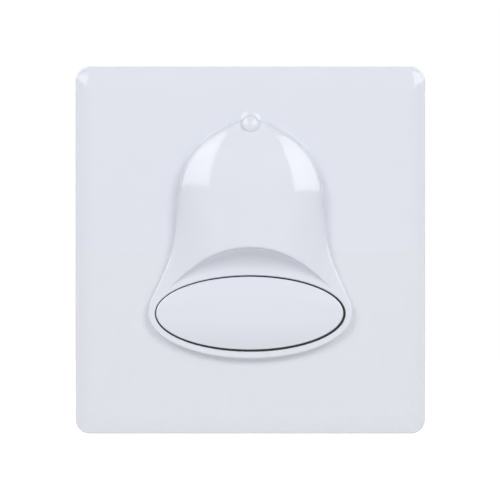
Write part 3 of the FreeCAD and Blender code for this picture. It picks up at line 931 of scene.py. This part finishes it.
def gloss_white(name, with_weave):
    material, tree, shader, place = new_material(name)

    def calc(operation, *values):
        return math_node(tree, operation, *values)

    shader.inputs["IOR"].default_value = 1.5
    roughness = between(tree, noise(tree, place, 9.0), *gloss_roughness)
    height = calc("MULTIPLY", noise(tree, place, peel_size), peel_share)
    colour = mixed_colour(tree, noise(tree, place, 24.0), *cool_white)
    axes = add_node(tree, "ShaderNodeSeparateXYZ")
    tree.links.new(place, axes.inputs[0])
    x, y, z = axes.outputs
    across = calc("DIVIDE", x, mouth_half_width * MM)
    up = calc("DIVIDE", calc("SUBTRACT", z, mouth_z * MM), mouth_half_height * MM)
    across, up = calc("MULTIPLY", across, across), calc("MULTIPLY", up, up)
    # Painted shade: where the gap's oval meets the depth below the rim, the colour turns near black for the
    # shade in the gap.
    at_oval = calc("COMPARE", calc("ADD", across, up), gap_oval, gap_reach)
    deep = calc("COMPARE", y, (gap_front + gap_back) / 2 * MM, (gap_back - gap_front) / 2 * MM)
    colour = mixed_colour(tree, calc("MULTIPLY", at_oval, deep), colour, gap_painted_shade)
    if with_weave:
        below = calc("LESS_THAN", z, weave_top * MM)
        on_plate = calc("GREATER_THAN", y, weave_front * MM)
        in_front = calc("LESS_THAN", y, weave_back * MM)
        mask = calc("MULTIPLY", calc("MULTIPLY", below, on_plate), in_front)
        turns = 2 * math.pi / (weave_pitch * MM) / math.sqrt(2)
        waves = [calc("SINE", calc("MULTIPLY", calc(cross, x, z), turns))
                 for cross in ("ADD", "SUBTRACT")]
        weave = calc("MULTIPLY", *waves)
        weave = calc("MULTIPLY", calc("ADD", weave, 1.0), mask)
        height = calc("ADD", height, calc("MULTIPLY", weave, 0.5))
        duller = calc("MULTIPLY", mask, weave_roughness)
        roughness = calc("ADD", roughness, duller)
        colour = mixed_colour(tree, mask, colour, warm_white)
    dress(tree, shader, colour, roughness, height, weave_depth)
    return material


cover_white = gloss_white("cover_white", True)
button_white = gloss_white("button_white", False)
give(cover, cover_white)
give(button, button_white)
print("white plastics:", cover_white.name, button_white.name)

# %% [markdown]
# ## Inner plastics and metals
# The case is a dark grey moulding from a spark-eroded mould, which leaves a fine even grain.
# The frame is zinc plated steel, cloudy and a little uneven. Brass, silver and spring steel are brighter.
# Each metal differs in colour, roughness and the size of its unevenness, so one function makes them all.

# %% Inner finishes


def moulded(name, dark, light, roughness, grain_size, grain_depth):
    material, tree, shader, place = new_material(name)
    colour = mixed_colour(tree, noise(tree, place, 6.0), dark, light)
    rough = between(tree, noise(tree, place, 3.0), *roughness)
    dress(tree, shader, colour, rough, noise(tree, place, grain_size), grain_depth)
    return material


metal_relief = 0.008


def metal(name, dull, bright, roughness, patch_size, stretch=(1, 1, 1)):
    material, tree, shader, place = new_material(name)
    shader.inputs["Metallic"].default_value = 1
    mapping = add_node(tree, "ShaderNodeMapping", {"Scale": stretch})
    tree.links.new(place, mapping.inputs["Vector"])
    place = mapping.outputs["Vector"]
    colour = mixed_colour(tree, noise(tree, place, patch_size), dull, bright)
    rough = between(tree, noise(tree, place, patch_size / 4), *roughness)
    dress(tree, shader, colour, rough, noise(tree, place, patch_size / 8), metal_relief)
    return material


case_grey = moulded("case_grey", linear(58, 60, 64), linear(68, 70, 74), (0.5, 0.6), 0.25, 0.03)
acetal = moulded("acetal", linear(226, 224, 216), linear(234, 232, 226), (0.35, 0.45), 0.5, 0.01)
zinc = metal("zinc_steel", (0.50, 0.51, 0.52), (0.62, 0.63, 0.63), (0.28, 0.42), 4.0)
brass = metal("brass", (0.72, 0.52, 0.24), (0.80, 0.60, 0.30), (0.22, 0.34), 2.0, (1, 1, 3))
silver = metal("silver", (0.84, 0.83, 0.80), (0.92, 0.91, 0.88), (0.2, 0.3), 1.0)
spring_steel = metal("spring_steel", (0.42, 0.42, 0.42), (0.55, 0.55, 0.55), (0.22, 0.32), 1.0)
screw_steel = metal("screw_steel", (0.60, 0.60, 0.58), (0.70, 0.70, 0.68), (0.2, 0.3), 1.5)

give(frame_plate, zinc)
give(case_shell, case_grey)
give(lid_plate, case_grey)
finish_of = {"plunger": acetal, "contact_bridge": brass, "bridge_clip": spring_steel}
for pair, material in (("bridge_tip", silver), ("fixed_tip", silver), ("fixed_contact", brass),
                       ("terminal_clamp", brass), ("terminal_screw", screw_steel), ("lid_screw", screw_steel)):
    finish_of[pair + "_left"] = finish_of[pair + "_right"] = material
for node, material in finish_of.items():
    give(nodes[node], material)
print("finished model nodes:", len(finish_of))

# %% [markdown]
# ## Winding the spring
# The spring runs from the clip on the plunger to the end of the case.
# Its radius, its length and where it starts are read from the model's box of it.

# %% Spring
spring_low, spring_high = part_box("return_spring")
wire_radius = 0.3 * MM
spring_radius = (spring_high.x - spring_low.x) / 2 - wire_radius
spring_length = spring_high.y - spring_low.y - 2 * wire_radius
spring_start = (0, spring_low.y + wire_radius, mouth_z * MM)
spring = wound("spring_coil", spring_steel, Turns=5.0, Radius=spring_radius, Length=spring_length,
               Wire_Radius=wire_radius, Samples=40, Wire_Sides=12, Start=spring_start)
print("spring box:", *([round(v / MM, 2) for v in spring.bound_box[corner]] for corner in (0, 6)))

# %% [markdown]
# ## What moves with what
# The button, its plunger and the contact bridge are one moving body. All else stays with the cover.
# Here the button cap is attached to the button's body, and the cover, frame, case, lid and spring to the
# housing.
# The spring's back end stands still in the case and its front end moves with the clip.

# %% Bodies
for piece, node, slot in ((cover, "front_cover", "cover_plastic"),
                          (frame_plate, "mounting_frame", "frame_steel"),
                          (case_shell, "mechanism_case", "case_plastic"),
                          (lid_plate, "mechanism_lid", "case_plastic"),
                          (spring, "return_spring", "spring_steel")):
    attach(piece, "housing")
    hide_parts(node)
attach(button, "button")
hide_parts("push_button")
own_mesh(spring)

# %% [markdown]
# ## Camera
# The view is straight from the front with a long lens, so the plate's edges stay parallel.

# %% Camera
FRAME_PIXELS = 500
plate_pixels = 350.0
plate_centre_pixel = (250.3, 250.1)
camera_distance = 900.0
sensor_width = 36.0
view_width = 2 * plate_half_width * FRAME_PIXELS / plate_pixels
camera_data = bpy.data.cameras.new("camera")
camera_data.sensor_width = sensor_width
camera_data.lens = sensor_width * camera_distance / view_width
camera_data.clip_start = 0.05
camera_data.clip_end = 50
camera = placed("camera", camera_data)
pixel = view_width / FRAME_PIXELS
camera_x = (FRAME_PIXELS / 2 - plate_centre_pixel[0]) * pixel
camera_z = (plate_centre_pixel[1] - FRAME_PIXELS / 2) * pixel
camera.location = Vector((camera_x, plate_front - camera_distance, camera_z)) * MM
camera.rotation_euler = (math.pi / 2, 0, 0)
bpy.context.scene.camera = camera
print("lens mm:", round(camera_data.lens, 1), "view width mm:", round(view_width, 2))

# %% [markdown]
# ## Panels for the gloss
# White gloss on a white ground only shows its form through what it mirrors.
# Two tall panels at the sides give the pale patches on the bell's shoulders, cut off level at the bottom,
# and a small one overhead brightens the crown. Each is brightest near one spot, so its patch fades softly.
# Lamps that strong at the sides would wash the form out, so the panels are seen in gloss only.

# %% Soft boxes
fade_reach = 1.1
fade_strengths = (1.12, 0.8)


def emptied_tree(owner):
    """The node tree of a material or world, without the nodes it starts with."""
    owner.use_nodes = True
    owner.node_tree.nodes.clear()
    return owner.node_tree


def soft_box(name, corners, bright_spot, radiance):
    """A pale panel that only shows in gloss, a little brighter towards one spot."""
    panel = new_object(name, corners, [tuple(range(len(corners)))])
    glow = bpy.data.materials.new(name)
    tree = emptied_tree(glow)
    light, out, place, fall_off, from_spot = (
        add_node(tree, "ShaderNode" + kind)
        for kind in ("Emission", "OutputMaterial", "TexCoord", "MapRange", "VectorMath"))
    from_spot.operation = "DISTANCE"
    from_spot.inputs[1].default_value = bright_spot
    strengths = [share * radiance for share in fade_strengths]
    for socket, value in zip(fall_off.inputs[1:5], (0, fade_reach, *strengths)):
        socket.default_value = value
    tree.links.new(place.outputs["Object"], from_spot.inputs[0])
    tree.links.new(from_spot.outputs["Value"], fall_off.inputs["Value"])
    tree.links.new(fall_off.outputs["Result"], light.inputs["Strength"])
    tree.links.new(light.outputs[0], out.inputs["Surface"])
    give(panel, glow)
    for rays in ("visible_camera", "visible_diffuse", "visible_transmission", "visible_shadow"):
        setattr(panel, rays, False)


def upright(facing, distance, side, rise):
    """A place on an upright panel: how far to its side and how high, as shares of its distance."""
    azimuth = math.radians(facing)
    away = Vector((math.sin(azimuth), -math.cos(azimuth), 0))
    across = Vector((math.cos(azimuth), math.sin(azimuth), 0))
    return (away + across * side + Vector((0, 0, 1)) * rise) * distance


left_corners = [(0.97, 0.22), (0.74, 1.4), (0.1, 2.5), (-1.6, 2.5), (-1.6, 0.21)]
right_corners = [(-0.9, 0.14), (-0.9, 0.9), (-0.2, 2.2), (1.5, 2.2), (1.5, 0.14)]
for name, facing, corners, spot, radiance in (("box_left", -75, left_corners, (0.3, 1.0), 4.4),
                                              ("box_right", 76, right_corners, (-0.35, 0.6), 4.3)):
    soft_box(name, [upright(facing, 1.2, *corner) for corner in corners], upright(facing, 1.2, *spot), radiance)
soft_box("box_top", [(-0.5, -0.35, 1.4), (0.5, -0.35, 1.4), (0.5, 0.5, 1.4), (-0.5, 0.5, 1.4)],
         (0, 0, 1.4), 1.6)

# %% [markdown]
# ## Lamps for the form
# Two soft lamps above the camera, one to each side, light the form: it falls off gently
# from top to bottom, and a soft shadow lies on both sides of the bell and under its mouth.

# %% Soft lamps
LAMP_SIDE, LAMP_DISTANCE = 0.7, 1.8


def soft_lamp(name, azimuth, elevation, radiance):
    """A square lamp that lights the form but doesn't show in gloss."""
    data = bpy.data.lights.new(name, "AREA")
    data.size = LAMP_SIDE
    data.energy = radiance * math.pi * LAMP_SIDE ** 2
    lamp = placed(name, data)
    side, up = math.radians(azimuth), math.radians(elevation)
    towards = Vector((math.sin(side) * math.cos(up), -math.cos(side) * math.cos(up), math.sin(up)))
    lamp.location = towards * LAMP_DISTANCE
    lamp.rotation_euler = towards.to_track_quat("Z", "Y").to_euler()
    lamp.visible_glossy = False


soft_lamp("lamp_left", -27, 26, 4.8)
soft_lamp("lamp_right", 27, 26, 5.25)

# %% [markdown]
# ## Room and floor
# The room is white to the camera and in reflections, and dimmer as a lamp.
# The floor is as white as the room to the camera, so no horizon shows.

# %% Room and floor
room_strength = 0.52
world = bpy.data.worlds.new("room")
bpy.context.scene.world = world
room = emptied_tree(world)
seen, lamp_light, seen_light, choice, room_out = (
    add_node(room, "ShaderNode" + kind)
    for kind in ("LightPath", "Background", "Background", "MixShader", "OutputWorld"))
lamp_light.inputs["Strength"].default_value = room_strength
seen_light.inputs["Strength"].default_value = 1.0
for background in (lamp_light, seen_light):
    background.inputs["Color"].default_value = (1, 1, 1, 1)


def seen_rays(tree, path):
    """1 for rays from the camera, from gloss and from glass, else 0."""
    total = math_node(tree, "ADD", path.outputs["Is Camera Ray"], path.outputs["Is Glossy Ray"])
    total = math_node(tree, "ADD", total, path.outputs["Is Transmission Ray"])
    return math_node(tree, "MINIMUM", total, 1.0)


room.links.new(seen_rays(room, seen), choice.inputs[0])
room.links.new(lamp_light.outputs[0], choice.inputs[1])
room.links.new(seen_light.outputs[0], choice.inputs[2])
room.links.new(choice.outputs[0], room_out.inputs["Surface"])

floor_height = -0.068
floor_glow_strength = 0.6
half = 1.5
corners = ((-half, -half), (half, -half), (half, half), (-half, half))
floor = new_object("floor", [(x, y, floor_height) for x, y in corners], [(0, 1, 2, 3)])
floor_white = bpy.data.materials.new("floor_white")
floor_tree = emptied_tree(floor_white)
floor_path, floor_base, floor_glow, floor_sum, floor_out = (
    add_node(floor_tree, "ShaderNode" + kind)
    for kind in ("LightPath", "BsdfDiffuse", "Emission", "AddShader", "OutputMaterial"))
floor_base.inputs["Color"].default_value = (0.9, 0.9, 0.9, 1)
floor_lift = math_node(floor_tree, "MULTIPLY", seen_rays(floor_tree, floor_path), floor_glow_strength)
floor_tree.links.new(floor_lift, floor_glow.inputs["Strength"])
floor_tree.links.new(floor_base.outputs[0], floor_sum.inputs[0])
floor_tree.links.new(floor_glow.outputs[0], floor_sum.inputs[1])
floor_tree.links.new(floor_sum.outputs[0], floor_out.inputs["Surface"])
give(floor, floor_white)

bpy.context.scene.view_settings.view_transform = "Standard"
print("room strength:", room_strength, "floor mm:", floor_height / MM)
